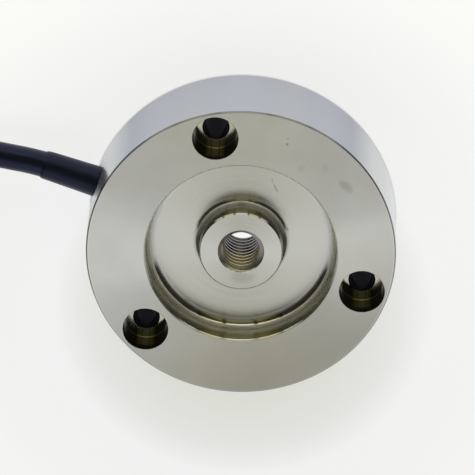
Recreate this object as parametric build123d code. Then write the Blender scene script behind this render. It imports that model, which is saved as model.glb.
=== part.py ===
from build123d import *
import math
import os

# Tension and compression load cell, in millimetres. It lies flat on its rear face.
# The origin is the centre of the rear face and +Z is the load axis, out of the recessed front.

# Ring
body_diameter = 54.5
body_height = 16.0
rim_chamfer = 0.25
edge_chamfer = 0.15

# Screw holes: clearance and counterbore for M4 cap screws
screw_count = 3
screw_from_rim = 4.75
screw_bore_diameter = 4.5
counterbore_diameter = 8.0
counterbore_depth = 5.0
counterbore_chamfer = 0.05
first_screw_angle = 101.4

# Front recess and boss
recess_wall = 1.65
recess_chamfer = 0.25
recess_fillet = 1.8
boss_diameter = 14.8
boss_below_face = 0.9
boss_fillet = 1.25
boss_chamfer = 0.25

# Central thread, M8: the bore has the thread's major diameter
thread_diameter = 8.0
thread_chamfer = 0.1

# Rear cavity, from the mounting face inwards
cover_inset = 2.6
cover_thickness = 0.4
cover_clearance = 0.05
cover_ledge = 1.1
hub_stub_height = 0.5
hub_shoulder = 1.05
component_room = 1.2
board_thickness = 0.8
board_ledge = 0.65
board_clearance = 0.1
board_inner_share = 0.16
wiring_room = 3.4
diaphragm_thickness = 2.1
cavity_fillet = 0.8

# Strain gauges on the underside of the diaphragm, sized as shares of its flat width
gauge_pairs = 4
gauge_from_fillet = 0.35
gauge_length_share = 0.3636
gauge_width_share = 0.2657
grid_line_width_share = 0.0168
grid_line_pitch_share = 0.035
tab_size_share = 0.077
tab_spacing_share = 0.14
lead_reach_share = 0.098
gauge_carrier = 0.1
gauge_foil = 0.05
grid_lines = 5
lead_diameter = 0.2
lead_straight = 0.55

# Trimming resistors on the underside of the board, on the middle of its ring
resistor_length = 2.0
resistor_width = 1.25
resistor_height = 0.5
resistor_cap = 0.35
resistor_body_step = 0.04
resistor_angles = {
    "zero_balance_resistor": 55,
    "zero_temperature_resistor": 85,
    "span_resistor": 275,
    "span_temperature_resistor": 305,
}

# Cable exit, midway between two screw holes
exit_angle = first_screw_angle + 180 / screw_count
spot_face_diameter = 8.0
spot_face_depth = 0.35
exit_bore_depth = 6.25
exit_bore_clearance = 0.05
passage_diameter = 3.0
passage_floor = 0.4
notch_width = 5.0
notch_depth = 3.4
seal_length = 1.0

# Cable: a round jacket with four cores and a screen wire
cable_diameter = 4.6
sleeve_wall = 0.4
sleeve_length = 15.2
core_diameter = 0.9
core_pitch = 1.06
screen_diameter = 0.4
# Each core's side and row in the cable: left is 1 and right is -1, top is 1 and bottom is -1
core_places = {
    "red": (-1, -1),
    "black": (-1, 1),
    "green": (1, -1),
    "white": (1, 1),
}
core_colours = tuple(core_places)

# Cores on the board: how far inwards and sideways each bend lies, for the top and the bottom pair
top_core_inset = 0.15
top_core_steps = (1.6, 2.8)
top_core_spread = (2.75, 4.5)
bottom_core_rise = 2.2
bottom_core_steps = (1.6, 3.6)
bottom_core_spread = (1.3, 1.6)

# Cable route from the end of its seal, lying down from the exit's height to the floor
route_first_run = 16.5
route_second = (-53.05, 16.11, 4.0)
route_third = (-71.2, 18.55, 2.3)
route_last = (-78.6, 19.05, 2.3)

# Put-away coil beside the disc, and the cable's end inside it
coil_centre = (-86.0, -14.0)
coil_columns = 4
coil_layers = 3
coil_inner_turn_radius = 19.6
tail_distance = 11.8
tail_heading = 0.0
tail_end = 7.0
end_sleeve_length = 9.0
end_sleeve_wall = 0.4
tail_straight = 2.4
tail_fan = 0.4
tail_first_radius = 15.4
tail_spread = 1.9
tail_step_angle = 24.0
tail_stagger = 4.0
tinned_length = 4.0
tinned_diameter = 0.6

# Radii, heights and directions worked out from the sizes above
rim_radius = body_diameter / 2
screw_circle = body_diameter - 2 * screw_from_rim
recess_radius = screw_circle / 2 - counterbore_diameter / 2 - recess_wall
boss_radius = boss_diameter / 2
thread_radius = thread_diameter / 2
cavity_radius = recess_radius + board_ledge
cover_radius = cavity_radius + cover_ledge
notch_end_radius = cavity_radius - notch_depth
stub_radius = boss_radius - hub_shoulder
board_inner_radius = boss_radius + (cavity_radius - boss_radius) * board_inner_share
board_outer_radius = cavity_radius - board_clearance
resistor_circle_radius = (board_inner_radius + board_outer_radius) / 2
cover_seat_z = cover_inset + cover_thickness
hub_end_z = cover_inset - hub_stub_height
board_bottom_z = cover_seat_z + component_room
board_top_z = board_bottom_z + board_thickness
diaphragm_z = board_top_z + wiring_room
floor_z = diaphragm_z + diaphragm_thickness
flat_width = recess_radius - boss_radius - 2 * (cavity_fillet + gauge_from_fillet)
gauge_length = flat_width * gauge_length_share
gauge_width = flat_width * gauge_width_share
grid_line_width = flat_width * grid_line_width_share
grid_line_pitch = flat_width * grid_line_pitch_share
tab_size = flat_width * tab_size_share
tab_spacing = flat_width * tab_spacing_share
lead_reach = flat_width * lead_reach_share
boss_top_z = body_height - boss_below_face
exit_z = cover_seat_z + passage_floor + passage_diameter / 2
spot_face_radius = rim_radius - spot_face_depth
bore_end_radius = rim_radius - exit_bore_depth
cable_start_radius = bore_end_radius + seal_length
cable_radius = cable_diameter / 2
sleeve_radius = cable_radius + sleeve_wall
exit_bore_radius = sleeve_radius + exit_bore_clearance
core_radius = core_diameter / 2

# Local frame of the cable exit: x along the rim, y up, z outwards along the bore
exit_direction = Vector(1, 0, 0).rotate(Axis.Z, exit_angle)
rim_direction = Vector(0, 1, 0).rotate(Axis.Z, exit_angle)
exit_plane = Plane(origin=(0, 0, exit_z), x_dir=rim_direction, z_dir=exit_direction)


def corner(profile, radius, height):
    return profile.vertices().sort_by_distance((radius, height, 0))[0]


def turned(profile):
    return revolve(Plane.XZ * profile, Axis.Z)


def ring(inner_radius, outer_radius, bottom, top):
    blank = Circle(outer_radius) - Circle(inner_radius)
    return Pos(0, 0, bottom) * extrude(blank, top - bottom)


def along_exit(start_radius, end_radius, radius):
    middle = (start_radius + end_radius) / 2
    return exit_plane * Pos(0, 0, middle) * Cylinder(radius, end_radius - start_radius)


def tube(path, radius):
    return sweep(Plane(origin=path @ 0, z_dir=path % 0) * Circle(radius), path=path)


def bend_radii(points):
    radii = []
    for before, here, after in zip(points, points[1:], points[2:]):
        first = Vector(*here) - Vector(*before)
        second = Vector(*after) - Vector(*here)
        half_turn = math.radians(first.get_angle(second)) / 2
        radii.append(0.45 * min(first.length, second.length) / math.tan(half_turn))
    return radii


def bent_wire(points, radius):
    return tube(FilletPolyline(*points, radius=bend_radii(points)), radius)


def body_profile():
    outline = Polyline(
        (thread_radius, hub_end_z),
        (stub_radius, hub_end_z),
        (stub_radius, cover_seat_z),
        (boss_radius, cover_seat_z),
        (boss_radius, diaphragm_z),
        (recess_radius, diaphragm_z),
        (recess_radius, board_top_z),
        (cavity_radius, board_top_z),
        (cavity_radius, cover_seat_z),
        (cover_radius, cover_seat_z),
        (cover_radius, 0),
        (rim_radius, 0),
        (rim_radius, body_height),
        (recess_radius, body_height),
        (recess_radius, floor_z),
        (boss_radius, floor_z),
        (boss_radius, boss_top_z),
        (thread_radius, boss_top_z),
        close=True,
    )
    profile = make_face(outline)
    for radius, height, size in (
        (recess_radius, floor_z, recess_fillet),
        (boss_radius, floor_z, boss_fillet),
        (recess_radius, diaphragm_z, cavity_fillet),
        (boss_radius, diaphragm_z, cavity_fillet),
    ):
        profile = fillet(corner(profile, radius, height), size)
    for radius, height, size in (
        (rim_radius, 0, rim_chamfer),
        (rim_radius, body_height, rim_chamfer),
        (cover_radius, 0, edge_chamfer),
        (recess_radius, body_height, recess_chamfer),
        (boss_radius, boss_top_z, boss_chamfer),
        (stub_radius, hub_end_z, edge_chamfer),
        (thread_radius, hub_end_z, thread_chamfer),
        (thread_radius, boss_top_z, thread_chamfer),
    ):
        profile = chamfer(corner(profile, radius, height), size)
    return profile


def screw_hole():
    bore_radius = screw_bore_diameter / 2
    wide_radius = counterbore_diameter / 2
    step_z = body_height - counterbore_depth
    outline = Polyline(
        (0, 0),
        (bore_radius + edge_chamfer, 0),
        (bore_radius, edge_chamfer),
        (bore_radius, step_z - edge_chamfer),
        (bore_radius + edge_chamfer, step_z),
        (wide_radius, step_z),
        (wide_radius, body_height - counterbore_chamfer),
        (wide_radius + counterbore_chamfer, body_height),
        (0, body_height),
        close=True,
    )
    return turned(make_face(outline))


def load_cell_body():
    body = turned(body_profile())
    body -= PolarLocations(screw_circle / 2, screw_count, first_screw_angle) * screw_hole()
    body -= along_exit(spot_face_radius, rim_radius + 1, spot_face_diameter / 2)
    body -= along_exit(bore_end_radius, rim_radius + 1, exit_bore_radius)
    body -= along_exit(notch_end_radius, bore_end_radius, passage_diameter / 2)
    return body


def rear_cover():
    return ring(stub_radius + cover_clearance, cover_radius - cover_clearance, cover_inset, cover_seat_z)


def terminal_board():
    board = ring(board_inner_radius, board_outer_radius, board_bottom_z, board_top_z)
    notch = exit_plane * Pos(0, 0, cavity_radius) * Box(notch_width, body_height, 2 * notch_depth)
    return board - notch


def strain_gauge(turned_in):
    carrier = Box(gauge_length, gauge_width, gauge_carrier)
    foil_z = -(gauge_carrier + gauge_foil) / 2
    line_length = gauge_length - tab_size - 4 * grid_line_width
    line_x = -gauge_length / 2 + 2 * grid_line_width + line_length / 2
    gauge = carrier
    for number in range(grid_lines):
        line_y = (number - (grid_lines - 1) / 2) * grid_line_pitch
        gauge += Pos(line_x, line_y, foil_z) * Box(line_length, grid_line_width, gauge_foil)
    for number in range(grid_lines - 1):
        loop_y = (number - (grid_lines - 2) / 2) * grid_line_pitch
        side = -1 if number % 2 else 1
        loop_x = line_x + side * (line_length - grid_line_width) / 2
        gauge += Pos(loop_x, loop_y, foil_z) * Box(grid_line_width, grid_line_pitch, gauge_foil)
    for side in (-1, 1):
        tab_x = (gauge_length - tab_size) / 2
        tab = Pos(tab_x, side * tab_spacing / 2, foil_z)
        gauge += tab * Box(tab_size, tab_size, gauge_foil)
    turn = Rot(0, 0, 180) if turned_in else Rot(0, 0, 0)
    return Pos(0, 0, diaphragm_z - gauge_carrier / 2) * turn * gauge


def gauge_leads(tab_radius, pad_radius):
    leads = []
    for side in (-1, 1):
        lead_y = side * tab_spacing / 2
        tab_z = diaphragm_z - gauge_carrier - gauge_foil
        points = [
            (tab_radius, lead_y, tab_z),
            (tab_radius, lead_y, tab_z - lead_straight),
            (pad_radius, lead_y, board_top_z + lead_straight),
            (pad_radius, lead_y, board_top_z),
        ]
        leads.append(bent_wire(points, lead_diameter / 2))
    return Compound(leads)


def chip_resistor():
    core_length = resistor_length - 2 * resistor_cap
    step = 2 * resistor_body_step
    chip = Box(core_length, resistor_width - step, resistor_height - step)
    for side in (-1, 1):
        cap = Box(resistor_cap, resistor_width, resistor_height)
        chip += Pos(side * (resistor_length - resistor_cap) / 2, 0, 0) * cap
    return Pos(0, 0, board_bottom_z - resistor_height / 2) * chip


def inner_core(side, row):
    across = side * core_pitch / 2
    up = row * core_pitch / 2
    on_board = board_top_z + core_radius - exit_z
    if row > 0:
        knee = recess_radius - top_core_inset
        steps = top_core_steps
        spread = top_core_spread
    else:
        knee = notch_end_radius + bottom_core_rise
        steps = bottom_core_steps
        spread = bottom_core_spread
    points = [(across, up, cable_start_radius), (across, up, knee)]
    for step, sideways in zip(steps, spread):
        points.append((side * sideways, on_board, knee - step))
    return exit_plane * bent_wire(points, core_radius)


def inner_screen_wire():
    return along_exit(notch_end_radius, cable_start_radius, screen_diameter / 2)


def cable_seal():
    seal = along_exit(bore_end_radius, cable_start_radius, exit_bore_radius)
    for side, row in core_places.values():
        place = Pos(side * core_pitch / 2, row * core_pitch / 2, bore_end_radius + seal_length / 2)
        seal -= exit_plane * place * Cylinder(core_radius, seal_length)
    return seal - along_exit(bore_end_radius, cable_start_radius, screen_diameter / 2)


def route_points():
    start = exit_direction * cable_start_radius
    corner_point = exit_direction * (cable_start_radius + route_first_run)
    return [
        (start.X, start.Y, exit_z),
        (corner_point.X, corner_point.Y, exit_z),
        route_second,
        route_third,
        route_last,
    ]


coil_outer_turn_radius = coil_inner_turn_radius + (coil_columns - 1) * cable_diameter
coil_place = Pos(coil_centre[0], coil_centre[1], 0)

# Frame of the cable's end inside the coil: x along the cable towards its end, y to the left, z up
tail_z = cable_radius + end_sleeve_wall
tail_place = coil_place * Rot(0, 0, tail_heading) * Pos(0, -tail_distance, tail_z)


def cable_coil():
    inner = coil_inner_turn_radius - cable_radius
    outer = coil_outer_turn_radius + cable_radius
    return coil_place * ring(inner, outer, 0, coil_layers * cable_diameter)


def cable_path():
    points = route_points()
    return FilletPolyline(*points, radius=bend_radii(points))


def cable():
    return tube(cable_path(), cable_radius) - cable_coil()


def strain_relief_sleeve():
    path = cable_path()
    reach = along_exit(cable_start_radius, cable_start_radius + sleeve_length, cable_diameter)
    return tube(path, sleeve_radius) & reach - tube(path, cable_radius)


def along_tail(start, end, radius):
    return tail_place * Pos((start + end) / 2, 0, 0) * Rot(0, 90, 0) * Cylinder(radius, end - start)


def cable_tail():
    start = tail_end - coil_inner_turn_radius - cable_diameter
    return along_tail(start, tail_end, cable_radius) - cable_coil()


def end_sleeve():
    start = tail_end - end_sleeve_length
    wrapped = along_tail(start, tail_end, cable_radius)
    return along_tail(start, tail_end, cable_radius + end_sleeve_wall) - wrapped


def tail_points(number, across, up, wire_radius):
    straight_end = tail_end + tail_straight + (len(core_colours) - number) * tail_fan
    radius = tail_first_radius - number * tail_spread
    first_angle = math.atan2(straight_end, tail_distance)
    points = [(tail_end, across, up), (straight_end, across, up)]
    for step in (1, 2, 3):
        angle = first_angle + math.radians(step * tail_step_angle + number * tail_stagger)
        x = radius * math.sin(angle)
        y = tail_distance - radius * math.cos(angle)
        points.append((x, y, wire_radius - tail_z))
    return points


def tinned_end(points):
    direction = Vector(*points[-1]) - Vector(*points[-2])
    tip = Pos(0, 0, tinned_length / 2) * Cylinder(tinned_diameter / 2, tinned_length)
    return tail_place * (Plane(origin=points[-1], z_dir=direction) * tip)


nodes = {
    "load_cell_body": load_cell_body(),
    "rear_cover": rear_cover(),
    "terminal_board": terminal_board(),
    "cable_seal": cable_seal(),
    "strain_relief_sleeve": strain_relief_sleeve(),
    "cable": cable(),
    "cable_coil": cable_coil(),
    "cable_tail": cable_tail(),
    "end_sleeve": end_sleeve(),
    "inner_screen_wire": inner_screen_wire(),
}

# Gauges in pairs round the diaphragm, one by the boss and one by the ring, clear of the cable's exit
inner_gauge_radius = boss_radius + cavity_fillet + gauge_from_fillet + gauge_length / 2
outer_gauge_radius = recess_radius - cavity_fillet - gauge_from_fillet - gauge_length / 2
tab_offset = (gauge_length - tab_size) / 2
for number in range(gauge_pairs):
    turn = Rot(0, 0, exit_angle + (number + 0.5) * 360 / gauge_pairs)
    inner_tab = inner_gauge_radius + tab_offset
    outer_tab = outer_gauge_radius - tab_offset
    nodes[f"strain_gauge_inner_{number + 1}"] = turn * Pos(inner_gauge_radius, 0, 0) * strain_gauge(False)
    nodes[f"strain_gauge_outer_{number + 1}"] = turn * Pos(outer_gauge_radius, 0, 0) * strain_gauge(True)
    nodes[f"gauge_leads_inner_{number + 1}"] = turn * gauge_leads(inner_tab, inner_tab + lead_reach)
    nodes[f"gauge_leads_outer_{number + 1}"] = turn * gauge_leads(outer_tab, outer_tab - lead_reach)

for name, angle in resistor_angles.items():
    turn = Rot(0, 0, exit_angle + angle)
    nodes[name] = turn * Pos(resistor_circle_radius, 0, 0) * Rot(0, 0, 90) * chip_resistor()

tips = []
for number, colour in zip((0, 1, 3, 4), core_colours):
    side, row = core_places[colour]
    nodes[f"inner_core_{colour}"] = inner_core(side, row)
    points = tail_points(number, side * core_pitch / 2, row * core_pitch / 2, core_radius)
    nodes[f"core_tail_{colour}"] = tail_place * bent_wire(points, core_radius)
    tips.append(tinned_end(points))
nodes["screen_tail"] = tail_place * bent_wire(tail_points(2, 0, 0, screen_diameter / 2), screen_diameter / 2)
nodes["tinned_wire_ends"] = Compound(tips)

os.makedirs("parts", exist_ok=True)
for name, shape in nodes.items():
    export_step(shape, f"parts/{name}.step")

path = cable_path()
section_times_length = math.pi * cable_radius**2 * path.length
print("cable bend radii:", [round(radius, 1) for radius in bend_radii(route_points())])
print("cable tube volume:", round(tube(path, cable_radius).volume, 1))
print("section times length:", round(section_times_length, 1))
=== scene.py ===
import bpy
import math
from mathutils import Matrix, Vector


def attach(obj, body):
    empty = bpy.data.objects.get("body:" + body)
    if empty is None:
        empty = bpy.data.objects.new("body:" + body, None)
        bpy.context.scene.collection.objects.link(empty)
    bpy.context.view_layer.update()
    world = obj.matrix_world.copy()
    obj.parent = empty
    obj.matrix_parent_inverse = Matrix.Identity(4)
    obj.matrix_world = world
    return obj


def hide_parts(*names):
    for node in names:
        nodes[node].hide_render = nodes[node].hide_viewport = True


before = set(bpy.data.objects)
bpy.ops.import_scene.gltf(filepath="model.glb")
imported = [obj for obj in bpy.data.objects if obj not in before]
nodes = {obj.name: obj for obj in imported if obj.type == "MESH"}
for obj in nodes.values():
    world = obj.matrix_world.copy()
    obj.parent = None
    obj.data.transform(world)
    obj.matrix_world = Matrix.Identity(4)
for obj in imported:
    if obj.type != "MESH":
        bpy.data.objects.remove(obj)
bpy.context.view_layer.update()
print("frame loaded:", len(nodes), "CAD nodes")


# Camera: the photo's own view, looking down on the disc from the cable's side
photoView = {
    "place": (0.01648, 0.38224, 0.83064),
    "right": (0.99978, 0.0, -0.02094),
    "up": (-0.00883, 0.90668, -0.42173),
    "back": (0.01899, 0.42183, 0.90648),
    "lens": 388.46,
    "sensor": 36.0,
}


def placeCamera(view):
    lens = bpy.data.cameras.new("photoCamera")
    lens.lens = view["lens"]
    lens.sensor_width = view["sensor"]
    lens.clip_end = 20
    camera = bpy.data.objects.new("photoCamera", lens)
    bpy.context.scene.collection.objects.link(camera)
    turn = Matrix((view["right"], view["up"], view["back"])).transposed()
    camera.matrix_world = Matrix.Translation(view["place"]) @ turn.to_4x4()
    bpy.context.scene.camera = camera


placeCamera(photoView)
print("camera placed")


# Helpers that every piece uses
def pickNone():
    if bpy.context.object and bpy.context.object.mode != "OBJECT":
        bpy.ops.object.mode_set(mode="OBJECT")
    bpy.ops.object.select_all(action="DESELECT")


def pickOnly(piece):
    pickNone()
    piece.select_set(True)
    bpy.context.view_layer.objects.active = piece


def settleAtOrigin(piece):
    pickOnly(piece)
    bpy.ops.object.transform_apply(location=True, rotation=True, scale=True)


def smoothOver(piece, degrees=35):
    pickOnly(piece)
    bpy.ops.object.shade_smooth_by_angle(angle=math.radians(degrees))


def dress(piece, material):
    piece.data.materials.clear()
    piece.data.materials.append(material)


# Cable: one line from the seal in the bore, along the floor, into the put-away coil and its tail
cableLine = {
    "thickness": 0.0046,
    "pointRadius": 0.001,  # small, with the bevel as much larger, because a curve's bounds grow by it
    "length": 2.0,
    "leadIn": (
        (-0.02085, 0.00702, 0.00490),
        (-0.02950, 0.01000, 0.00490),
        (-0.03600, 0.01230, 0.00485),
        (-0.04150, 0.01330, 0.00460),
        (-0.05305, 0.01540, 0.00390),
        (-0.07120, 0.01855, 0.00230),
        (-0.07860, 0.01905, 0.00230),
    ),
    "coilCentre": (-0.0860, -0.0140),
    "columns": (0.0334, 0.0288, 0.0242, 0.0196),  # turn radii, outermost first
    "layers": 3,
    "pointsPerTurn": 16,
    "climb": 60,  # degrees before the top of each turn
    "lastTurn": 70,  # extra degrees on the last column before the tail leaves
    "humps": (0.6, 0.3),  # over to the next column and up a layer, in cable thicknesses
    "tailTurn": 0.0138,
    "tailSweep": 110,
    "tailSteps": 5,
    "tailStraight": 0.006,
    "tailHeight": 0.0027,
    "tailEnd": -0.0790,
    "exit": (-0.02549, 0.00858, 0.0049),
    "roundness": 7,
    "smoothness": 4,
}


def coilPoints(line):
    cx, cy = line["coilCentre"]
    d = line["thickness"]
    n = line["pointsPerTurn"]
    reach = 1 / math.cos(math.pi / n)
    lift = line["climb"]
    crossing, climbing = line["humps"]
    points = []
    for k, radius in enumerate(line["columns"]):
        layers = range(line["layers"])
        if k % 2:
            layers = reversed(layers)
        last = k == len(line["columns"]) - 1
        for turn, layer in enumerate(layers):
            leaving = turn == line["layers"] - 1
            for i in range(n):
                angle = 360 * (i + 0.5) / n
                if last and leaving and angle > line["lastTurn"]:
                    break
                r, z, hump = radius, d * (0.5 + layer), 0.0
                s = (angle - 360 + lift) / lift
                if s > 0:
                    ease = s * s * (3 - 2 * s)
                    if leaving:  # over to the next column
                        r += (line["columns"][k + 1] - radius) * ease
                        hump = crossing if layer else 0.0
                    else:  # up or down a layer
                        z += d * ease * (-1 if k % 2 else 1)
                        hump = climbing
                    z += d * hump * math.sin(math.pi * s) ** 2
                a = math.radians(90 + angle)
                points.append((cx + r * reach * math.cos(a), cy + r * reach * math.sin(a), z))
    # the tail swings in off the last turn and lies straight
    a0 = math.radians(90 + line["lastTurn"])
    inner = line["columns"][-1] - line["tailTurn"]
    tx, ty = cx + inner * math.cos(a0), cy + inner * math.sin(a0)
    each = math.radians(line["tailSweep"]) / line["tailSteps"]
    r = line["tailTurn"] / math.cos(each / 2)
    for i in range(line["tailSteps"]):
        a = a0 + each * (i + 0.5)
        points.append((tx + r * math.cos(a), ty + r * math.sin(a), d / 2))
    for before in (line["tailStraight"], 0):
        points.append((line["tailEnd"] - before, ty - line["tailTurn"], line["tailHeight"]))
    return points


def layCable(line):
    curve = bpy.data.curves.new("sensorCable", "CURVE")
    curve.dimensions = "3D"
    curve.bevel_depth = line["thickness"] / 2 / line["pointRadius"]
    curve.bevel_resolution = line["roundness"]
    curve.use_fill_caps = True
    points = list(line["leadIn"]) + coilPoints(line)
    spline = curve.splines.new("NURBS")
    spline.points.add(len(points) - 1)
    for point, place in zip(spline.points, points):
        point.co = (*place, 1)
        point.radius = line["pointRadius"]
    spline.order_u = 3
    spline.use_endpoint_u = True
    spline.resolution_u = line["smoothness"]
    cable = bpy.data.objects.new("sensorCable", curve)
    bpy.context.scene.collection.objects.link(cable)
    return cable


def pointsAlong(cable, most):  # the cable's middle line, for what fits round it
    bare = cable.data.copy()
    bare.bevel_depth = 0
    bare.splines[0].resolution_u = 16
    twin = bpy.data.objects.new("lineOnly", bare)
    bpy.context.scene.collection.objects.link(twin)
    line = bpy.data.meshes.new_from_object(twin.evaluated_get(bpy.context.evaluated_depsgraph_get()))
    places = [v.co.copy() for v in line.vertices]
    bpy.data.objects.remove(twin)
    kept, gone = [places[0]], 0.0
    for a, b in zip(places, places[1:]):
        gone += (b - a).length
        kept.append(b)
        if gone > most:
            break
    return kept


sensorCable = layCable(cableLine)
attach(sensorCable, "root")
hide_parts("cable", "cable_coil", "cable_tail")
print("cable laid")


# Strain relief: heat-shrink sleeve that tapers with the cable
reliefSleeve = {
    "length": 0.0152,
    "boreLength": 0.0052,  # straight inside the bore
    "boreRadius": 0.0027,
    "rimRadius": 0.00274,
    "endRadius": 0.00252,
    "lip": 0.00022,
    "lipFrom": 0.93,
    "reach": 0.03,  # of the cable that it is fitted along
    "rings": 40,
    "sides": 64,
}


def shrinkSleeve(cable, size):
    pickNone()
    bpy.ops.mesh.primitive_cylinder_add(
        vertices=size["sides"], radius=1, depth=1, end_fill_type="NGON", location=(0, 0, 0.5)
    )
    sleeve = bpy.context.object
    sleeve.name = "reliefSleeve"
    settleAtOrigin(sleeve)
    bpy.ops.object.mode_set(mode="EDIT")
    for i in range(1, size["rings"]):
        bpy.ops.mesh.select_all(action="SELECT")
        bpy.ops.mesh.bisect(plane_co=(0, 0, i / size["rings"]), plane_no=(0, 0, 1))
    bpy.ops.object.mode_set(mode="OBJECT")
    line = pointsAlong(cable, size["reach"])
    runs = [0.0]
    for a, b in zip(line, line[1:]):
        runs.append(runs[-1] + (b - a).length)
    for v in sleeve.data.vertices:
        t = v.co.z * size["length"]
        k = max(i for i in range(len(runs) - 1) if runs[i] <= t + 1e-9)
        mix = (t - runs[k]) / (runs[k + 1] - runs[k])
        place = line[k].lerp(line[k + 1], mix)
        ahead = (line[k + 1] - line[k]).normalized()
        side = Vector((0, 0, 1)).cross(ahead).normalized()
        top = ahead.cross(side)
        if t < size["boreLength"]:
            r = size["boreRadius"]
        else:
            s = (t - size["boreLength"]) / (size["length"] - size["boreLength"])
            r = size["rimRadius"] + (size["endRadius"] - size["rimRadius"]) * s
            r -= size["lip"] * max(0.0, (s - size["lipFrom"]) / (1 - size["lipFrom"])) ** 2
        v.co = place + side * (r * v.co.x) + top * (r * v.co.y)
    pickOnly(sleeve)
    bpy.ops.object.mode_set(mode="EDIT")
    bpy.ops.mesh.select_all(action="SELECT")
    bpy.ops.mesh.normals_make_consistent(inside=False)
    bpy.ops.object.mode_set(mode="OBJECT")
    smoothOver(sleeve)
    return sleeve


sleeve = shrinkSleeve(sensorCable, reliefSleeve)
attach(sleeve, "root")
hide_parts("strain_relief_sleeve")
print("sleeve shrunk on")


# Thread: the M8 ridge that winds up the plain bore
threadRidge = {
    "wallRadius": 0.00403,
    "crestRadius": 0.00332,
    "rootWidth": 0.00109,
    "crestWidth": 0.00031,
    "start": 0.00150,
    "rise": 0.0155,
    "pitch": 0.00125,
    "steps": 850,
    "mouthRadius": 0.0041,
    "mouth": 0.0151,
    "ends": (0.0022, 0.0150),
}


def cutThread(size):
    pickNone()
    bpy.ops.mesh.primitive_plane_add(size=0.001, location=(0, 0, 0))
    ridge = bpy.context.object
    ridge.name = "threadRidge"
    root, crest = size["rootWidth"] / 2, size["crestWidth"] / 2
    wall, tip, low = size["wallRadius"], size["crestRadius"], size["start"]
    corners = ((wall, 0, low - root), (tip, 0, low - crest), (wall, 0, low + root), (tip, 0, low + crest))
    for v, place in zip(ridge.data.vertices, corners):
        v.co = place
    bpy.ops.object.mode_set(mode="EDIT")
    bpy.ops.mesh.select_all(action="SELECT")
    bpy.ops.mesh.delete(type="ONLY_FACE")
    bpy.ops.object.mode_set(mode="OBJECT")
    wind = ridge.modifiers.new("wind", "SCREW")
    wind.axis = "Z"
    wind.steps = wind.render_steps = size["steps"]
    wind.angle = math.tau * size["rise"] / size["pitch"]
    wind.screw_offset = size["rise"]
    wind.use_smooth_shade = False
    bpy.ops.object.modifier_apply(modifier="wind")
    bpy.ops.object.mode_set(mode="EDIT")
    bpy.ops.mesh.select_all(action="DESELECT")
    bpy.ops.mesh.select_mode(type="EDGE")
    bpy.ops.mesh.select_non_manifold()
    bpy.ops.mesh.fill()
    for height, way in zip(size["ends"], (-1, 1)):
        bpy.ops.mesh.select_all(action="SELECT")
        bpy.ops.mesh.bisect(plane_co=(0, 0, height), plane_no=(0, 0, way), clear_outer=True)
        bpy.ops.mesh.select_all(action="DESELECT")
        bpy.ops.mesh.select_non_manifold()
        bpy.ops.mesh.edge_face_add()
    bpy.ops.object.mode_set(mode="OBJECT")
    for v in ridge.data.vertices:  # a countersink takes the crest off the topmost turn
        r = math.hypot(v.co.x, v.co.y)
        cone = size["mouthRadius"] - (size["mouth"] - v.co.z)
        if r < min(cone, wall):
            v.co.xy *= min(cone, wall) / r
    pickOnly(ridge)
    bpy.ops.object.mode_set(mode="EDIT")
    bpy.ops.mesh.select_all(action="SELECT")
    bpy.ops.mesh.normals_make_consistent(inside=False)
    bpy.ops.object.mode_set(mode="OBJECT")
    smoothOver(ridge, 25)
    return ridge


thread = cutThread(threadRidge)
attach(thread, "root")
print("thread cut")


# Materials
def newMaterial(name):
    material = bpy.data.materials.new(name)
    material.use_nodes = True
    return material


def node(material, kind, **settings):
    made = material.node_tree.nodes.new(kind)
    for key, value in settings.items():
        setattr(made, key, value)
    return made


def wire(material, start, end):
    material.node_tree.links.new(start, end)


def shaderOf(material):
    return material.node_tree.nodes["Principled BSDF"]


def objectPlace(material):
    return node(material, "ShaderNodeTexCoord").outputs["Object"]


def noise(material, place, scale, detail, roughness=0.5):
    texture = node(material, "ShaderNodeTexNoise")
    texture.inputs["Scale"].default_value = scale
    texture.inputs["Detail"].default_value = detail
    texture.inputs["Roughness"].default_value = roughness
    wire(material, place, texture.inputs["Vector"])
    return texture.outputs["Fac"]


def ramp(material, source, *stops):
    made = node(material, "ShaderNodeValToRGB")
    while len(made.color_ramp.elements) < len(stops):
        made.color_ramp.elements.new(0.5)
    for element, (place, colour) in zip(made.color_ramp.elements, stops):
        element.position = place
        element.color = (*colour, 1)
    wire(material, source, made.inputs["Fac"])
    return made.outputs["Color"]


def rangeOf(material, source, low, high, start, end):
    made = node(material, "ShaderNodeMapRange")
    made.inputs["From Min"].default_value = low
    made.inputs["From Max"].default_value = high
    made.inputs["To Min"].default_value = start
    made.inputs["To Max"].default_value = end
    wire(material, source, made.inputs["Value"])
    return made.outputs["Result"]


def blend(material, share, first, second):
    made = node(material, "ShaderNodeMix", data_type="RGBA")
    wire(material, share, made.inputs[0])
    for slot, value in ((made.inputs[6], first), (made.inputs[7], second)):
        if isinstance(value, tuple):
            slot.default_value = (*value, 1)
        else:
            wire(material, value, slot)
    return made.outputs[2]


def bump(material, height, strength, distance):
    made = node(material, "ShaderNodeBump")
    made.inputs["Strength"].default_value = strength
    made.inputs["Distance"].default_value = distance
    wire(material, height, made.inputs["Height"])
    wire(material, made.outputs["Normal"], shaderOf(material).inputs["Normal"])


def mathNode(material, operation, first, second=None, third=None):
    made = node(material, "ShaderNodeMath", operation=operation)
    for slot, value in zip(made.inputs, (first, second, third)):
        if value is None:
            continue
        if isinstance(value, (int, float)):
            slot.default_value = value
        else:
            wire(material, value, slot)
    return made.outputs[0]


def times(material, product, *others):
    for value in others:
        product = mathNode(material, "MULTIPLY", product, value)
    return product


def oneMinus(material, share):
    return mathNode(material, "SUBTRACT", 1.0, share)


def step(material, value, edge, soft):
    return rangeOf(material, value, edge - soft, edge + soft, 0.0, 1.0)


def under(material, value, edge, soft):
    return oneMinus(material, step(material, value, edge, soft))


def centred(material, value):
    return mathNode(material, "SUBTRACT", value, 0.5)


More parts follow.
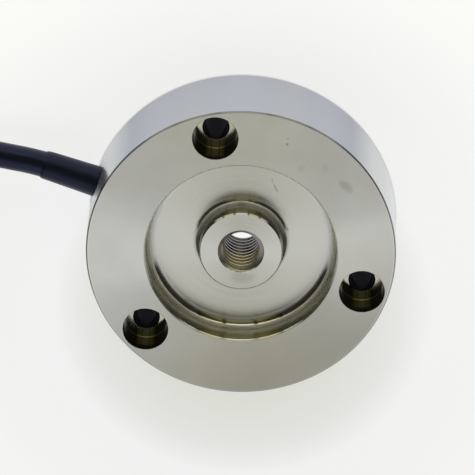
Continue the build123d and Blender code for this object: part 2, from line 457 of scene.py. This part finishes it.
# Steel: each zone starts or ends at (place, softness), by radius from the axis or by height
bodyFinish = {
    "anisotropy": 1.0,
    "turning": 0.25,
    "rimFrom": (0.0269, 0.0001),
    "faceFrom": (0.0157, 0.0001),
    "recessTo": (0.01690, 0.00005),
    "floorTo": (0.01085, 0.0003),
    "filletTo": (0.0123, 0.00015),
    "wallFrom": (0.0123, 0.0002),
    "bossTopFrom": (0.01495, 0.00005),
    "bossTopTo": (0.0076, 0.0001),
    "bossEdgeHeights": ((0.01478, 0.00002), (0.01507, 0.00002)),
    "bossEdgeRadii": ((0.0070, 0.00002), (0.0079, 0.00002)),
    "rimEdgeRadius": (0.02699, 0.00001),
    "rimEdgeHeight": (0.01575, 0.00001),
    "threadBoreTo": (0.00402, 0.00001),
    "holes": ((-0.004447, 0.022056), (-0.016878, -0.014879), (0.021325, -0.007177)),
    "holeTo": (0.00405, 0.00002),  # from the hole's own axis, as are holeFloorFrom and holeCornerFrom
    "holeFloorFrom": (0.00235, 0.00003),
    "holeFloorTo": (0.01105, 0.00002),
    "holeCornerFrom": (0.00396, 0.00002),
    "holeCornerTo": (0.01124, 0.00005),
    "colour": (0.74, 0.74, 0.715),
    "stain": (0.69, 0.69, 0.645),
    "stainFrom": (0.36, 0.62),
    # painted reflection: the rim tinted bluish, as if it mirrored a cool backdrop
    "rimPaintedCoolReflection": (0.56, 0.585, 0.66),
    # painted highlight: the rim lighter towards its left and right ends
    "rimEndsPaintedHighlight": (0.85, 0.87, 0.88),
    "rimHighlightFrom": (0.0195, 0.0232),
    # painted shade: a thin dark line along the rim's chamfer
    "rimEdgePaintedShade": (0.33, 0.33, 0.33),
    # painted shade: the face darker and yellower towards its lower side, leaning with x
    "lowSidePaintedShade": (0.52, 0.51, 0.45),
    "lowSideLean": -0.45,
    "lowSideFrom": (-0.004, -0.026),
    "lowSideShare": 0.9,
    "recessColour": (0.525, 0.525, 0.495),
    "recessShare": 0.85,
    # painted reflection: a golden tint on the recess's walls
    "wallPaintedGold": (0.75, 0.735, 0.61),
    # painted shade: the counterbores' walls nearly black
    "holePaintedShade": (0.10, 0.10, 0.096),
    # painted reflection: a golden tint on the counterbores' floors
    "holeFloorPaintedGold": (0.50, 0.49, 0.41),
    "holeCornerPaintedHighlight": (0.62, 0.61, 0.42),  # painted highlight: the bright arc of the tool's small radius at the counterbore's floor, a radius the shape lacks
    # painted shade: the M8 bore's wall nearly black
    "threadBorePaintedShade": (0.10, 0.10, 0.095),
    "bossEdgePaintedShade": (0.34, 0.34, 0.35),  # painted shade on the boss's break, on the cable's side
    # painted highlight on the boss's break, away from the cable's side
    "bossEdgePaintedHighlight": (0.88, 0.88, 0.86),
    "bossEdgeTurn": (-0.002, 0.004),
    "marks": (  # place, turn, half length, half width, depth of shade
        (0.00028, -0.00503, 0.6, 0.00247, 0.00120, 0.28),
        (0.00543, 0.01173, -75.6, 0.00064, 0.00016, 0.45),
        (0.00599, 0.01032, -62.9, 0.00097, 0.00022, 0.6),
        (0.01817, 0.01324, -40.8, 0.00174, 0.00085, 0.36),
        (0.00807, 0.02110, 22.8, 0.00030, 0.00028, 0.6),
        (0.00817, 0.02215, 18.7, 0.00018, 0.00022, 0.45),
        (0.01052, 0.01656, -32.9, 0.00078, 0.00090, 0.13),
        (0.01474, 0.01665, 8.3, 0.00070, 0.00100, 0.12),
    ),
    "markColour": (0.30, 0.30, 0.28),
    "markRagged": 0.9,
    "markFade": (0.5, 1.1),
    "faceRoughness": 0.30,
    "rimRoughness": 0.30,
    "floorRoughness": 0.17,
    "filletRoughness": 0.05,
    "wallRoughness": 0.14,
    "holeRoughness": 0.10,
    "grainRoughness": 0.05,
    "ringScale": 1400,
    "lineScale": 2600,
    "cloudScale": 95,
    "grainScale": 3200,
    "raggedScale": 900,
    "ringRelief": (0.9, 0.15),  # in the recess, and everywhere
    "lineRelief": 0.5,
    "grainRelief": 0.4,
    "relief": 0.35,
    "reliefDepth": 0.00003,
}


def steelPlaces(material):
    place = objectPlace(material)
    split = node(material, "ShaderNodeSeparateXYZ")
    wire(material, place, split.inputs[0])
    x, y, z = split.outputs
    flat = node(material, "ShaderNodeCombineXYZ")
    wire(material, x, flat.inputs[0])
    wire(material, y, flat.inputs[1])
    reach = node(material, "ShaderNodeVectorMath", operation="LENGTH")
    wire(material, flat.outputs[0], reach.inputs[0])
    return {
        "place": place,
        "x": x,
        "y": y,
        "z": z,
        "flat": flat.outputs[0],  # the place seen along the axis
        "radius": reach.outputs["Value"],
    }


def steelZones(material, at, finish):
    radius, z = at["radius"], at["z"]
    rim = step(material, radius, *finish["rimFrom"])
    outer = step(material, radius, *finish["recessTo"])
    inner = oneMinus(material, outer)
    face = times(material, step(material, z, *finish["faceFrom"]), outer, oneMinus(material, rim))
    bossTop = times(
        material,
        step(material, z, *finish["bossTopFrom"]),
        under(material, radius, *finish["bossTopTo"]),
    )
    floor = times(material, under(material, z, *finish["floorTo"]), inner)
    wall = times(material, inner, step(material, z, *finish["wallFrom"]), oneMinus(material, bossTop))
    fillet = times(material, under(material, z, *finish["filletTo"]), inner, oneMinus(material, floor))
    (edgeFoot, edgeTop), (edgeIn, edgeOut) = finish["bossEdgeHeights"], finish["bossEdgeRadii"]
    bossEdge = times(
        material,
        step(material, z, *edgeFoot),
        under(material, z, *edgeTop),
        under(material, radius, *edgeOut),
        step(material, radius, *edgeIn),
    )
    rimEdge = times(
        material,
        step(material, radius, *finish["rimEdgeRadius"]),
        step(material, z, *finish["rimEdgeHeight"]),
    )

    nearest = None
    for holeX, holeY in finish["holes"]:
        gap = node(material, "ShaderNodeVectorMath", operation="DISTANCE")
        wire(material, at["flat"], gap.inputs[0])
        gap.inputs[1].default_value = (holeX, holeY, 0)
        away = gap.outputs["Value"]
        nearest = away if nearest is None else mathNode(material, "MINIMUM", nearest, away)
    hole = under(material, nearest, *finish["holeTo"])
    clear = oneMinus(material, hole)
    holeFloor = times(
        material,
        under(material, z, *finish["holeFloorTo"]),
        step(material, nearest, *finish["holeFloorFrom"]),
        hole,
    )
    holeCorner = times(
        material,
        step(material, nearest, *finish["holeCornerFrom"]),
        hole,
        under(material, z, *finish["holeCornerTo"]),
    )
    return {
        "rim": rim,
        "rimOnly": times(material, rim, clear),
        "rimEdge": rimEdge,
        "face": face,
        "inner": inner,
        "cut": mathNode(material, "MAXIMUM", floor, bossTop),  # the recess's floor and the boss's top
        "wall": wall,
        "fillet": fillet,
        "bossEdge": bossEdge,
        "hole": hole,
        "clear": clear,
        "holeFloor": holeFloor,
        "holeCorner": holeCorner,
        "threadBore": under(material, radius, *finish["threadBoreTo"]),
    }


def addMark(material, at, ragged, paint, mark, finish):
    markX, markY, degrees, halfLength, halfWidth, depth = mark
    laid = node(material, "ShaderNodeMapping", vector_type="TEXTURE")
    laid.inputs["Location"].default_value = (markX, markY, 0)
    laid.inputs["Rotation"].default_value = (0, 0, math.radians(degrees))
    laid.inputs["Scale"].default_value = (halfLength, halfWidth, 1)
    wire(material, at["flat"], laid.inputs["Vector"])
    out = node(material, "ShaderNodeVectorMath", operation="LENGTH")
    wire(material, laid.outputs[0], out.inputs[0])
    inward = mathNode(material, "SUBTRACT", out.outputs["Value"], finish["markRagged"] / 2)
    edge = mathNode(material, "MULTIPLY_ADD", ragged, finish["markRagged"], inward)
    share = rangeOf(material, edge, *finish["markFade"], depth, 0.0)
    return blend(material, share, paint, finish["markColour"])


def steelPaint(material, at, zones, finish):
    cloud = noise(material, at["place"], finish["cloudScale"], 4, 0.6)
    ragged = noise(material, at["place"], finish["raggedScale"], 3, 0.6)
    dull, clean = finish["stainFrom"]
    paint = ramp(material, cloud, (dull, finish["stain"]), (clean, finish["colour"]))
    # share of the painted highlight towards the rim's ends
    ends = rangeOf(material, mathNode(material, "ABSOLUTE", at["x"]), *finish["rimHighlightFrom"], 0.0, 1.0)
    # painted shade on the face's lower side
    leaning = mathNode(material, "MULTIPLY_ADD", at["x"], finish["lowSideLean"], at["y"])
    lowSide = rangeOf(material, leaning, *finish["lowSideFrom"], 0.0, finish["lowSideShare"])
    # from the boss break's painted highlight to its painted shade, towards +Y
    bossEdgeShadeShare = rangeOf(material, at["y"], *finish["bossEdgeTurn"], 0.0, 1.0)
    for share, colour in (
        # the rim gets its painted bluish reflection, lighter at its ends with painted highlights
        (zones["rimOnly"], blend(material, ends, finish["rimPaintedCoolReflection"], finish["rimEndsPaintedHighlight"])),
        (zones["rimEdge"], finish["rimEdgePaintedShade"]),
        (times(material, lowSide, zones["face"]), finish["lowSidePaintedShade"]),
        (times(material, zones["inner"], finish["recessShare"]), finish["recessColour"]),
        (zones["wall"], finish["wallPaintedGold"]),
    ):
        paint = blend(material, share, paint, colour)
    for mark in finish["marks"]:
        paint = addMark(material, at, ragged, paint, mark, finish)
    for share, colour in (
        (zones["hole"], finish["holePaintedShade"]),
        (zones["bossEdge"], blend(material, bossEdgeShadeShare, finish["bossEdgePaintedHighlight"], finish["bossEdgePaintedShade"])),
        (zones["holeFloor"], finish["holeFloorPaintedGold"]),
        (zones["holeCorner"], finish["holeCornerPaintedHighlight"]),
        (zones["threadBore"], finish["threadBorePaintedShade"]),
    ):
        paint = blend(material, share, paint, colour)
    return paint


def steelRoughness(material, zones, grain, finish):
    wall = finish["wallRoughness"]
    rough = wall
    for zone, level in (
        (zones["face"], finish["faceRoughness"]),
        (zones["rim"], finish["rimRoughness"]),
        (zones["cut"], finish["floorRoughness"]),
        (zones["fillet"], finish["filletRoughness"]),
    ):
        rough = mathNode(material, "MULTIPLY_ADD", zone, level - wall, rough)
    grainOnFace = times(material, grain, zones["face"])
    rough = mathNode(material, "MULTIPLY_ADD", grainOnFace, finish["grainRoughness"], rough)
    inHole = times(material, zones["hole"], finish["holeRoughness"])
    return mathNode(material, "MULTIPLY_ADD", rough, zones["clear"], inHole)


def lineNoise(material, along, scale, detail):
    texture = node(material, "ShaderNodeTexNoise", noise_dimensions="1D")
    texture.inputs["Scale"].default_value = scale
    texture.inputs["Detail"].default_value = detail
    wire(material, along, texture.inputs["W"])
    return centred(material, texture.outputs["Fac"])


def steelRelief(material, at, zones, grain, finish):
    rings = lineNoise(material, at["radius"], finish["ringScale"], 3)  # faint turning rings
    lines = lineNoise(material, at["z"], finish["lineScale"], 4)  # and lines round the rim
    depth = mathNode(material, "MULTIPLY_ADD", zones["cut"], *finish["ringRelief"])
    relief = times(material, rings, depth)
    linesOnRim = times(material, lines, zones["rim"])
    relief = mathNode(material, "MULTIPLY_ADD", linesOnRim, finish["lineRelief"], relief)
    grainOnFace = times(material, centred(material, grain), zones["face"])
    return mathNode(material, "MULTIPLY_ADD", grainOnFace, finish["grainRelief"], relief)


def turnedSteel(finish):
    material = newMaterial("turnedSteel")
    shader = shaderOf(material)
    shader.inputs["Metallic"].default_value = 1.0
    shader.inputs["Anisotropic"].default_value = finish["anisotropy"]
    shader.inputs["Anisotropic Rotation"].default_value = finish["turning"]
    turned = node(material, "ShaderNodeTangent", direction_type="RADIAL", axis="Z")
    wire(material, turned.outputs["Tangent"], shader.inputs["Tangent"])
    at = steelPlaces(material)
    zones = steelZones(material, at, finish)
    grain = noise(material, at["place"], finish["grainScale"], 3, 0.7)
    wire(material, steelPaint(material, at, zones, finish), shader.inputs["Base Color"])
    wire(material, steelRoughness(material, zones, grain, finish), shader.inputs["Roughness"])
    bump(material, steelRelief(material, at, zones, grain, finish), finish["relief"], finish["reliefDepth"])
    return material


# Cable jacket and heat-shrink: black, with a blue sheen
jacketFinish = {
    "colour": (0.0025, 0.0045, 0.0100),
    "shine": 0.58,
    "tint": (0.44, 0.52, 1.0),
    "roughness": (0.30, 0.42),
    "fine": 2600,
    "patch": 300,
    "relief": 0.2,
    "depth": 0.00003,
}
shrinkFinish = dict(jacketFinish, shine=0.55, roughness=(0.36, 0.48), fine=1800)
noiseMiddle = (0.25, 0.75)  # nearly all of a noise texture's values lie in between


def blackSkin(name, finish):
    material = newMaterial(name)
    shader = shaderOf(material)
    place = objectPlace(material)
    grain = noise(material, place, finish["fine"], 2)
    cloud = noise(material, place, finish["patch"], 3)
    shader.inputs["Base Color"].default_value = (*finish["colour"], 1)
    shader.inputs["Specular IOR Level"].default_value = finish["shine"]
    shader.inputs["Specular Tint"].default_value = (*finish["tint"], 1)
    wire(material, rangeOf(material, cloud, *noiseMiddle, *finish["roughness"]), shader.inputs["Roughness"])
    bump(material, grain, finish["relief"], finish["depth"])
    return material


# Thread: painted shade on the low turns, a painted golden reflection in patches on the upper ones, and a
# plain grey mouth
threadFinish = {
    # painted shade: the low turns, deep in the bore, dark
    "lowTurnsPaintedShade": (0.26, 0.26, 0.285),
    # painted reflection: a golden tint on the upper turns
    "paintedGold": (0.80, 0.73, 0.50),
    "mouth": (0.40, 0.40, 0.38),
    "paintedGoldFrom": (0.0086, 0.0097),
    "paintedGoldTo": (0.0138, 0.0143),
    "paintedGoldPatches": (0.2, 0.6, 0.6, 1.0),
    "roughness": (0.08, 0.46),
    "fine": 2500,
    "relief": 0.2,
    "depth": 0.00002,
}


def cutSteel(finish):
    material = newMaterial("threadSteel")
    shader = shaderOf(material)
    shader.inputs["Metallic"].default_value = 1.0
    place = objectPlace(material)
    split = node(material, "ShaderNodeSeparateXYZ")
    wire(material, place, split.inputs[0])
    height = split.outputs[2]
    up = rangeOf(material, height, *finish["paintedGoldFrom"], 0.0, 1.0)
    mouth = rangeOf(material, height, *finish["paintedGoldTo"], 0.0, 1.0)
    grain = noise(material, place, finish["fine"], 4, 0.6)
    paintedGold = times(material, up, rangeOf(material, grain, *finish["paintedGoldPatches"]))
    colour = blend(material, paintedGold, finish["lowTurnsPaintedShade"], finish["paintedGold"])
    wire(material, blend(material, mouth, colour, finish["mouth"]), shader.inputs["Base Color"])
    wire(material, rangeOf(material, paintedGold, 0.0, 1.0, *finish["roughness"]), shader.inputs["Roughness"])
    bump(material, grain, finish["relief"], finish["depth"])
    return material


# Inner pieces and wire ends: each finish has a colour, a darker shade and a roughness
innerFinishes = {
    "rear_cover": {
        "name": "coverSteel",
        "colour": (0.60, 0.60, 0.58),
        "darker": (0.52, 0.52, 0.49),
        "roughness": 0.30,
        "metallic": 1.0,
        "patch": 160,
        "fine": 4200,
    },
    "terminal_board": {
        "name": "boardLacquer",
        "colour": (0.02, 0.12, 0.055),
        "darker": (0.015, 0.09, 0.04),
        "roughness": 0.35,
    },
    "cable_seal": {
        "name": "sealResin",
        "colour": (0.03, 0.03, 0.033),
        "darker": (0.02, 0.02, 0.022),
        "roughness": 0.4,
    },
    "end_sleeve": {
        "name": "endShrink",
        "colour": (0.012, 0.012, 0.015),
        "darker": (0.008, 0.008, 0.01),
        "roughness": 0.42,
    },
    "strain_gauge": {
        "name": "gaugeFilm",
        "colour": (0.52, 0.29, 0.09),
        "darker": (0.44, 0.22, 0.06),
        "roughness": 0.3,
    },
    "gauge_leads": {
        "name": "leadCopper",
        "colour": (0.80, 0.42, 0.26),
        "darker": (0.62, 0.30, 0.18),
        "roughness": 0.28,
        "metallic": 1.0,
    },
    "tinned": {
        "name": "tinnedCopper",
        "colour": (0.66, 0.66, 0.64),
        "darker": (0.54, 0.53, 0.50),
        "roughness": 0.32,
        "metallic": 1.0,
    },
    "resistor": {
        "name": "chipCeramic",
        "colour": (0.035, 0.035, 0.04),
        "darker": (0.02, 0.02, 0.022),
        "roughness": 0.38,
    },
    "red": {
        "name": "redInsulation",
        "colour": (0.52, 0.02, 0.015),
        "darker": (0.42, 0.014, 0.01),
        "roughness": 0.4,
    },
    "black": {
        "name": "blackInsulation",
        "colour": (0.012, 0.012, 0.013),
        "darker": (0.008, 0.008, 0.009),
        "roughness": 0.4,
    },
    "green": {
        "name": "greenInsulation",
        "colour": (0.02, 0.26, 0.06),
        "darker": (0.014, 0.2, 0.045),
        "roughness": 0.4,
    },
    "white": {
        "name": "whiteInsulation",
        "colour": (0.75, 0.74, 0.70),
        "darker": (0.68, 0.67, 0.62),
        "roughness": 0.42,
    },
}
screenWires = ("screen_tail", "inner_screen_wire")
innerSurface = {"patches": (0.35, 0.65), "spread": 0.15, "relief": 0.15, "depth": 0.00002}


def steadyFinish(name, colour, darker, roughness, metallic=0.0, patch=400, fine=5000):
    material = newMaterial(name)
    shader = shaderOf(material)
    shader.inputs["Metallic"].default_value = metallic
    place = objectPlace(material)
    cloud = noise(material, place, patch, 4)
    grain = noise(material, place, fine, 3, 0.6)
    low, high = innerSurface["patches"]
    wire(material, ramp(material, cloud, (low, darker), (high, colour)), shader.inputs["Base Color"])
    spread = roughness * innerSurface["spread"]
    rough = rangeOf(material, grain, *noiseMiddle, roughness - spread, roughness + spread)
    wire(material, rough, shader.inputs["Roughness"])
    bump(material, grain, innerSurface["relief"], innerSurface["depth"])
    return material


def dressInnerPieces(finishes):
    made = {words: steadyFinish(**finish) for words, finish in finishes.items()}
    for name, piece in nodes.items():
        if name in screenWires:
            dress(piece, made["tinned"])
        for words, material in made.items():
            if name.startswith(words) or name.endswith("_" + words):
                dress(piece, material)


dressInnerPieces(innerFinishes)
dress(nodes["load_cell_body"], turnedSteel(bodyFinish))
dress(thread, cutSteel(threadFinish))
dress(sensorCable, blackSkin("cableJacket", jacketFinish))
dress(sleeve, blackSkin("heatShrink", shrinkFinish))
print("materials made")


# Floor: pale, with a glow that only the camera and the metal see, some of its own shade kept, and painted
# shadow in front of and under the disc
floorLook = {
    "size": 6.0,
    "colour": (0.80, 0.80, 0.77),
    "roughness": 0.9,
    "glow": 1.35,
    "shadowPoolPlace": (0.0, -0.018, 0.0),  # painted shadow: the floor a little darker in front of the disc
    "shadowPoolReach": 0.1,
    "shadowPool": (
        (0.185, (0.69, 0.70, 0.635)),
        (0.28, (0.765, 0.77, 0.755)),
        (0.34, (0.885, 0.89, 0.895)),
        (0.47, (0.895, 0.90, 0.90)),
        (0.69, (0.975, 0.975, 0.965)),
        (0.85, (1.0, 1.0, 1.0)),
    ),
    "keepShade": 0.35,
    "underPaintedShadow": (0.055, 0.056, 0.066),
    "underInner": (0.0080, 0.0001),  # the disc's own footprint, where next to nothing glows: painted shadow under the disc
    "underOuter": (0.0272, 0.0003),
}


def layFloor(look):
    pickNone()
    bpy.ops.mesh.primitive_plane_add(size=look["size"], location=(0, 0, 0))
    floor = bpy.context.object
    floor.name = "paleFloor"
    bpy.ops.object.mode_set(mode="EDIT")
    bpy.ops.mesh.select_all(action="SELECT")
    bpy.ops.mesh.subdivide(number_cuts=8)
    bpy.ops.object.mode_set(mode="OBJECT")
    material = newMaterial("paleFloor")
    shader = shaderOf(material)
    shader.inputs["Base Color"].default_value = (*look["colour"], 1)
    shader.inputs["Roughness"].default_value = look["roughness"]
    spot = node(material, "ShaderNodeTexCoord")
    reach = node(material, "ShaderNodeVectorMath", operation="LENGTH")
    wire(material, spot.outputs["Object"], reach.inputs[0])
    inner = step(material, reach.outputs["Value"], *look["underInner"])
    outer = step(material, reach.outputs["Value"], *look["underOuter"])
    covered = mathNode(material, "SUBTRACT", inner, outer)
    rays = node(material, "ShaderNodeLightPath").outputs
    bounced = mathNode(material, "MAXIMUM", rays["Is Glossy Ray"], rays["Is Transmission Ray"])
    seen = mathNode(material, "MAXIMUM", rays["Is Camera Ray"], bounced)
    seen = mathNode(material, "MULTIPLY", seen, 1 - look["keepShade"])
    glow = node(material, "ShaderNodeEmission")
    # painted shadow pool, by distance from a spot in front of the disc
    shadowPool = node(material, "ShaderNodeVectorMath", operation="DISTANCE")
    wire(material, spot.outputs["Object"], shadowPool.inputs[0])
    shadowPool.inputs[1].default_value = look["shadowPoolPlace"]
    away = mathNode(material, "DIVIDE", shadowPool.outputs["Value"], look["shadowPoolReach"])
    uncovered = blend(material, inner, (1.0, 1.0, 1.0), ramp(material, away, *look["shadowPool"]))
    wire(material, blend(material, covered, uncovered, look["underPaintedShadow"]), glow.inputs["Color"])
    glow.inputs["Strength"].default_value = look["glow"]
    mix = node(material, "ShaderNodeMixShader")
    wire(material, seen, mix.inputs[0])
    wire(material, shader.outputs[0], mix.inputs[1])
    wire(material, glow.outputs[0], mix.inputs[2])
    wire(material, mix.outputs[0], material.node_tree.nodes["Material Output"].inputs["Surface"])
    dress(floor, material)


layFloor(floorLook)
print("floor laid")


# Light: all of it comes from the world, with a bright band low on the cable's side, thin dark seams in it,
# pale sides, and a dark gap round the lens. A row is an angle from straight up towards +Y in the YZ plane,
# and the light or the share there.
skyLook = {
    "stops": (
        (-180, (0.5, 0.5, 0.5)),
        (-90, (0.46, 0.46, 0.40)),
        (-62, (0.46, 0.46, 0.38)),
        (-40, (0.84, 0.84, 0.77)),
        (-25, (0.96, 0.96, 0.905)),
        (-15, (0.40, 0.40, 0.34)),
        (-9, (0.27, 0.27, 0.22)),
        (0, (0.21, 0.205, 0.155)),
        (13, (0.19, 0.18, 0.115)),
        (20, (0.31, 0.29, 0.145)),
        (29, (0.31, 0.29, 0.145)),
        (35, (0.12, 0.11, 0.06)),
        (57, (0.10, 0.09, 0.055)),
        (60, (1.8, 1.78, 1.68)),
        (76, (1.8, 1.78, 1.68)),
        (82, (0.50, 0.50, 0.46)),
        (90, (0.45, 0.45, 0.46)),
        (180, (0.5, 0.5, 0.5)),
    ),
    "sideShare": ((-180, 1.0), (-20, 1.0), (-10, 0.0), (78, 0.0), (84, 1.0), (180, 1.0)),
    "hood": ((-180, 0.0), (-22, 0.0), (-13, 1.0), (52, 1.0), (59, 0.0), (180, 0.0)),
    "hoodFrom": (0.17, 0.34),  # sideways, dark on both sides of the lens
    "hoodShade": (0.03, 0.026, 0.02),
    "bandEnd": ((-180, 0.0), (52, 0.0), (58, 1.0), (84, 1.0), (88, 0.0), (180, 0.0)),
    "bandEndFrom": (0.75, 0.83),
    "sides": (  # by how far sideways
        (0.0, (1.19, 1.20, 1.19)),
        (0.14, (1.17, 1.18, 1.17)),
        (0.26, (0.78, 0.79, 0.79)),
        (0.65, (0.70, 0.70, 0.70)),
        (0.85, (0.42, 0.42, 0.42)),
        (1.0, (0.42, 0.42, 0.43)),
    ),
    "sidesFrom": (0.02, 0.28),
    "seams": (13.0, 34.6),  # degrees each side of the middle
    "seamWidth": 4.2,
    "seamShade": (0.04, 0.035, 0.03),
    "seamsFrom": (0.0, 14.0),  # the seams fade in over these angles
    "tilt": 0.25,
    "tints": ((1.0, 1.0, 0.97), (1.0, 0.92, 0.64), (1.0, 0.98, 0.93)),  # inside, between and outside
    "tintEnd": (75, 90),
    "strength": 1.0,
}


def hangSky(look):
    world = bpy.data.worlds.new("studio")
    bpy.context.scene.world = world
    world.use_nodes = True
    spot = node(world, "ShaderNodeTexCoord")
    split = node(world, "ShaderNodeSeparateXYZ")
    wire(world, spot.outputs["Generated"], split.inputs[0])
    x, y, z = split.outputs
    angle = mathNode(world, "ARCTAN2", y, z)
    turn = rangeOf(world, angle, -math.pi, math.pi, 0.0, 1.0)
    offMiddle = mathNode(world, "ABSOLUTE", x)

    def byAngle(rows):
        stops = []
        for degrees, level in rows:
            stops.append((0.5 + degrees / 360, level if isinstance(level, tuple) else (level,) * 3))
        return ramp(world, turn, *stops)

    aside = rangeOf(world, offMiddle, *look["sidesFrom"], 0.0, 1.0)
    sideways = times(world, aside, byAngle(look["sideShare"]))
    light = blend(world, sideways, byAngle(look["stops"]), ramp(world, offMiddle, *look["sides"]))
    for rows, reach in (("hood", "hoodFrom"), ("bandEnd", "bandEndFrom")):
        shade = times(world, byAngle(look[rows]), rangeOf(world, offMiddle, *look[reach], 0.0, 1.0))
        light = blend(world, shade, light, look["hoodShade"])

    # the seams stand upright on the cable's side
    across = mathNode(world, "ARCTAN2", x, mathNode(world, "MULTIPLY_ADD", z, look["tilt"], y))
    share = mathNode(world, "DIVIDE", mathNode(world, "ABSOLUTE", across), math.pi)
    inside, between, outside = look["tints"]
    rows = [(0, inside)]
    for middle, before, after in zip(look["seams"], (inside, between), (between, outside)):
        half = look["seamWidth"] / 2
        rows += [(middle - half, before), (middle - half / 3, look["seamShade"])]
        rows += [(middle + half / 3, look["seamShade"]), (middle + half, after)]
    outerEnd, plainFrom = look["tintEnd"]
    rows += [(outerEnd, outside), (plainFrom, (1, 1, 1))]
    tint = ramp(world, share, *((degrees / 180, colour) for degrees, colour in rows))
    low, high = look["seamsFrom"]
    standing = rangeOf(world, angle, math.radians(low), math.radians(high), 0.0, 1.0)
    tint = blend(world, standing, (1.0, 1.0, 1.0), tint)
    product = node(world, "ShaderNodeMix", data_type="RGBA", blend_type="MULTIPLY")
    product.inputs[0].default_value = 1.0
    wire(world, light, product.inputs[6])
    wire(world, tint, product.inputs[7])
    background = world.node_tree.nodes["Background"]
    wire(world, product.outputs[2], background.inputs["Color"])
    background.inputs["Strength"].default_value = look["strength"]


hangSky(skyLook)
bpy.context.scene.view_settings.view_transform = "Standard"
print("stage lit")
